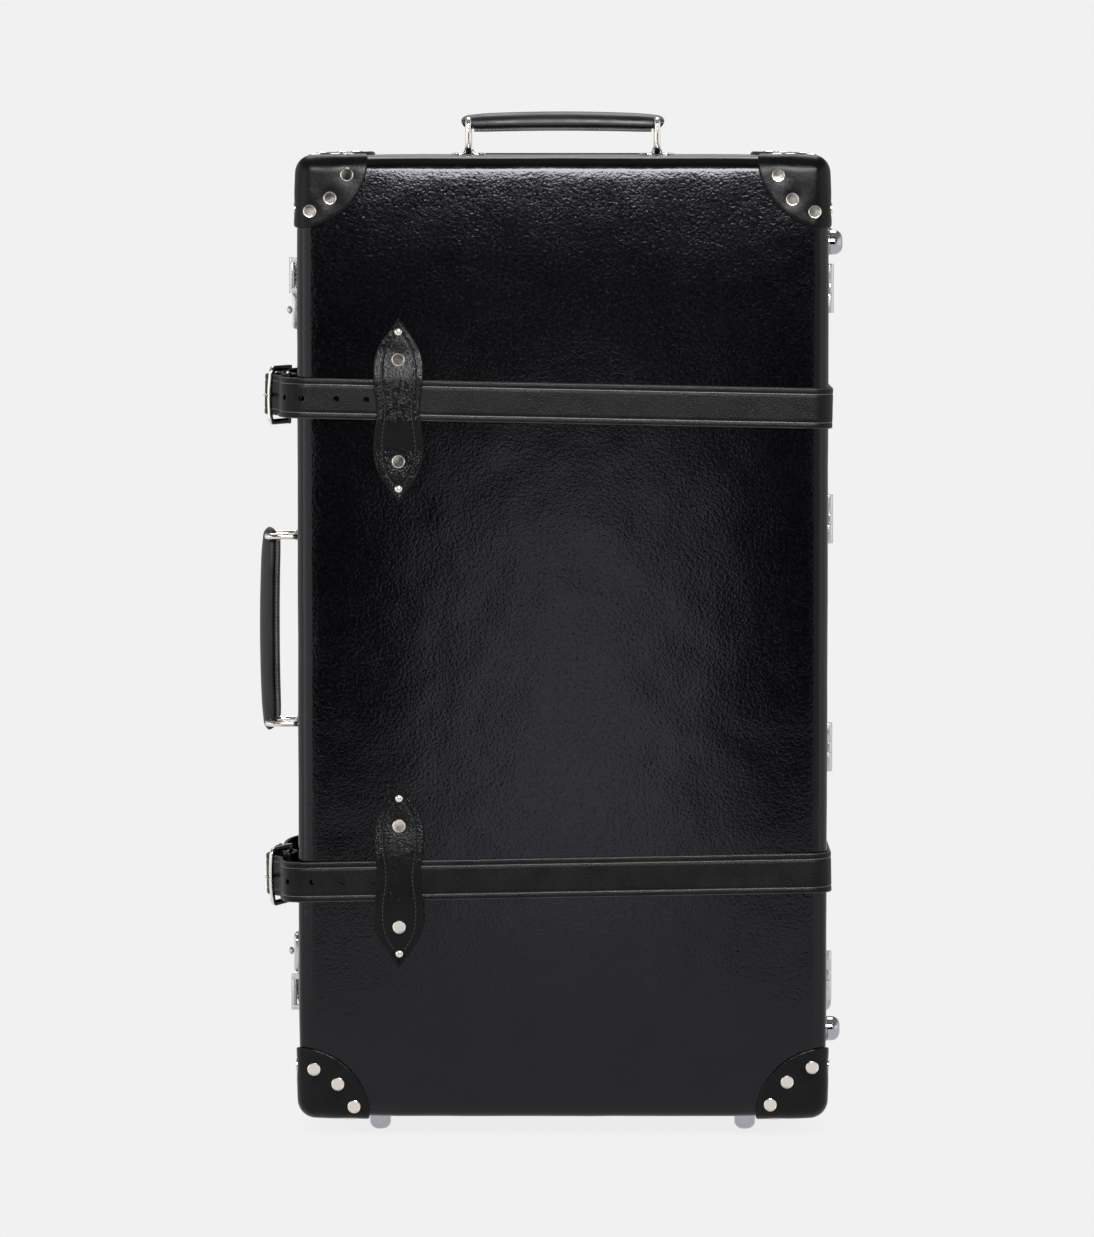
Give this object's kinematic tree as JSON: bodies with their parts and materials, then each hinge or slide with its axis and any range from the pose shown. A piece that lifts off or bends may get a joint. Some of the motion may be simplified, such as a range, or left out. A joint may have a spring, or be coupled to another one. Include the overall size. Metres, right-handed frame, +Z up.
{
  "type": "suitcase",
  "caption": "Tall black fibreboard travel case on its short end: leather corners, two buckled straps, a side and a top handle, latches, hinges, wheels and pull handle.",
  "frame": {"origin": "bottom centre of the whole case, on the surface it stands on", "axes": "+Z up along the case's height; -Y out of the front, which is the lid; +X toward the hinge side"},
  "size_m": [0.4654, 0.2406, 0.8102],
  "materials": {
    "fibreboard": "satin black vulcanised fibre with a fine pebbled texture",
    "corner_leather": "smooth satin black hide",
    "strap_leather": "smooth dark bridle leather with creased edges",
    "nickel": "polished nickel plate",
    "tread": "matt moulded tyre on a hard hub",
    "moulding": "fine grained moulding",
    "tube": "satin anodised"
  },
  "bodies": {
    "base": {"base_shell": "fibreboard", "base_corner_bottom_left": "corner_leather", "base_corner_bottom_right": "corner_leather", "base_corner_top_left": "corner_leather", "base_corner_top_right": "corner_leather", "base_side_foot_upper": "nickel", "base_side_foot_lower": "nickel", "hinge_1_base_leaf": "nickel", "hinge_2_base_leaf": "nickel", "hinge_3_base_leaf": "nickel", "hinge_4_base_leaf": "nickel", "upper_latch_plate": "nickel", "lower_latch_plate": "nickel", "upper_strap_rear": "strap_leather", "lower_strap_rear": "strap_leather", "side_handle_saddle_lower": "nickel", "side_handle_saddle_upper": "nickel", "top_handle_saddle_left": "nickel", "top_handle_saddle_right": "nickel", "wheel_housing_left": "moulding", "wheel_housing_right": "moulding", "pull_handle_housing": "moulding"},
    "lid": {"lid_shell": "fibreboard", "lid_corner_bottom_left": "corner_leather", "lid_corner_bottom_right": "corner_leather", "lid_corner_top_left": "corner_leather", "lid_corner_top_right": "corner_leather", "lid_side_foot_upper": "nickel", "lid_side_foot_lower": "nickel", "bottom_foot_left": "nickel", "bottom_foot_right": "nickel", "hinge_1_lid_leaf": "nickel", "hinge_2_lid_leaf": "nickel", "hinge_3_lid_leaf": "nickel", "hinge_4_lid_leaf": "nickel", "upper_hasp_plate": "nickel", "lower_hasp_plate": "nickel", "upper_strap_front": "strap_leather", "lower_strap_front": "strap_leather", "upper_chape": "corner_leather", "lower_chape": "corner_leather"},
    "upper_side_strap": {"upper_strap_side": "strap_leather", "upper_buckle_frame": "nickel"},
    "lower_side_strap": {"lower_strap_side": "strap_leather", "lower_buckle_frame": "nickel"},
    "upper_prong": {"upper_buckle_prong": "nickel"},
    "lower_prong": {"lower_buckle_prong": "nickel"},
    "upper_hasp": {"upper_hasp": "nickel"},
    "lower_hasp": {"lower_hasp": "nickel"},
    "upper_knob": {"upper_latch_knob": "nickel"},
    "lower_knob": {"lower_latch_knob": "nickel"},
    "side_ring_lower": {"side_handle_ring_lower": "nickel"},
    "side_ring_upper": {"side_handle_ring_upper": "nickel"},
    "side_grip": {"side_handle_grip": "corner_leather"},
    "top_ring_left": {"top_handle_ring_left": "nickel"},
    "top_ring_right": {"top_handle_ring_right": "nickel"},
    "top_grip": {"top_handle_grip": "corner_leather"},
    "wheel_left": {"wheel_left": "tread"},
    "wheel_right": {"wheel_right": "tread"},
    "pull_handle": {"pull_handle": "tube"}
  },
  "joints": [
    {"name": "lid_hinge", "type": "hinge", "parent": "base", "child": "lid", "pos_m": [0.2246, -0.0433, 0.3943], "axis": [0, 0, 1], "range_deg": [0, 100]},
    {"name": "upper_strap_swing", "type": "hinge", "parent": "lid", "child": "upper_side_strap", "pos_m": [-0.19176, -0.1169, 0.58533], "axis": [0.0201, 0, 0.9998], "range_deg": [0, 110]},
    {"name": "lower_strap_swing", "type": "hinge", "parent": "lid", "child": "lower_side_strap", "pos_m": [-0.19177, -0.1169, 0.20207], "axis": [-0.0183, 0, 0.9998], "range_deg": [0, 110]},
    {"name": "upper_prong_swing", "type": "hinge", "parent": "upper_side_strap", "child": "upper_prong", "pos_m": [-0.20707, -0.04742, 0.58564], "axis": [-0.0201, 0, -0.9998], "range_deg": [0, 50]},
    {"name": "lower_prong_swing", "type": "hinge", "parent": "lower_side_strap", "child": "lower_prong", "pos_m": [-0.20708, -0.04742, 0.20179], "axis": [0.0183, 0, -0.9998], "range_deg": [0, 50]},
    {"name": "upper_hasp_swing", "type": "hinge", "parent": "lid", "child": "upper_hasp", "pos_m": [-0.2031, -0.0628, 0.68075], "axis": [0, 0, 1], "range_deg": [0, 95]},
    {"name": "lower_hasp_swing", "type": "hinge", "parent": "lid", "child": "lower_hasp", "pos_m": [-0.2031, -0.0628, 0.10785], "axis": [0, 0, 1], "range_deg": [0, 95]},
    {"name": "upper_knob_slide", "type": "slide", "parent": "base", "child": "upper_knob", "axis": [0, 0, -1], "range_m": [0, 0.006], "stiffness_N_per_m": 60},
    {"name": "lower_knob_slide", "type": "slide", "parent": "base", "child": "lower_knob", "axis": [0, 0, 1], "range_m": [0, 0.006], "stiffness_N_per_m": 60},
    {"name": "side_ring_lower_swing", "type": "hinge", "parent": "base", "child": "side_ring_lower", "pos_m": [-0.2009, 0.0047, 0.3188], "axis": [0, 1, 0], "range_deg": [-50, 50]},
    {"name": "side_ring_upper_swing", "type": "hinge", "parent": "base", "child": "side_ring_upper", "pos_m": [-0.2009, 0.0047, 0.4698], "axis": [0, 1, 0], "range_deg": [-50, 50]},
    {"name": "side_grip_level", "type": "hinge", "parent": "side_ring_lower", "child": "side_grip", "pos_m": [-0.2257, 0.0047, 0.3188], "axis": [0, 1, 0], "range_deg": [-50, 50]},
    {"name": "top_ring_left_swing", "type": "hinge", "parent": "base", "child": "top_ring_left", "pos_m": [-0.0638, 0.0047, 0.7784], "axis": [0, 1, 0], "range_deg": [-50, 50]},
    {"name": "top_ring_right_swing", "type": "hinge", "parent": "base", "child": "top_ring_right", "pos_m": [0.0872, 0.0047, 0.7784], "axis": [0, 1, 0], "range_deg": [-50, 50]},
    {"name": "top_grip_level", "type": "hinge", "parent": "top_ring_left", "child": "top_grip", "pos_m": [-0.0638, 0.0047, 0.8032], "axis": [0, 1, 0], "range_deg": [-50, 50]},
    {"name": "wheel_left_spin", "type": "hinge", "parent": "base", "child": "wheel_left", "pos_m": [-0.1213, 0.0947, 0.025], "axis": [1, 0, 0], "continuous": true},
    {"name": "wheel_right_spin", "type": "hinge", "parent": "base", "child": "wheel_right", "pos_m": [0.1447, 0.0947, 0.025], "axis": [1, 0, 0], "continuous": true},
    {"name": "pull_handle_slide", "type": "slide", "parent": "base", "child": "pull_handle", "axis": [0, 0, 1], "range_m": [0, 0.32]}
  ],
  "couplings": [
    {"joint": "side_ring_upper_swing", "follows": "side_ring_lower_swing", "ratio": 1},
    {"joint": "side_grip_level", "follows": "side_ring_lower_swing", "ratio": -1},
    {"joint": "top_ring_right_swing", "follows": "top_ring_left_swing", "ratio": 1},
    {"joint": "top_grip_level", "follows": "top_ring_left_swing", "ratio": -1}
  ]
}
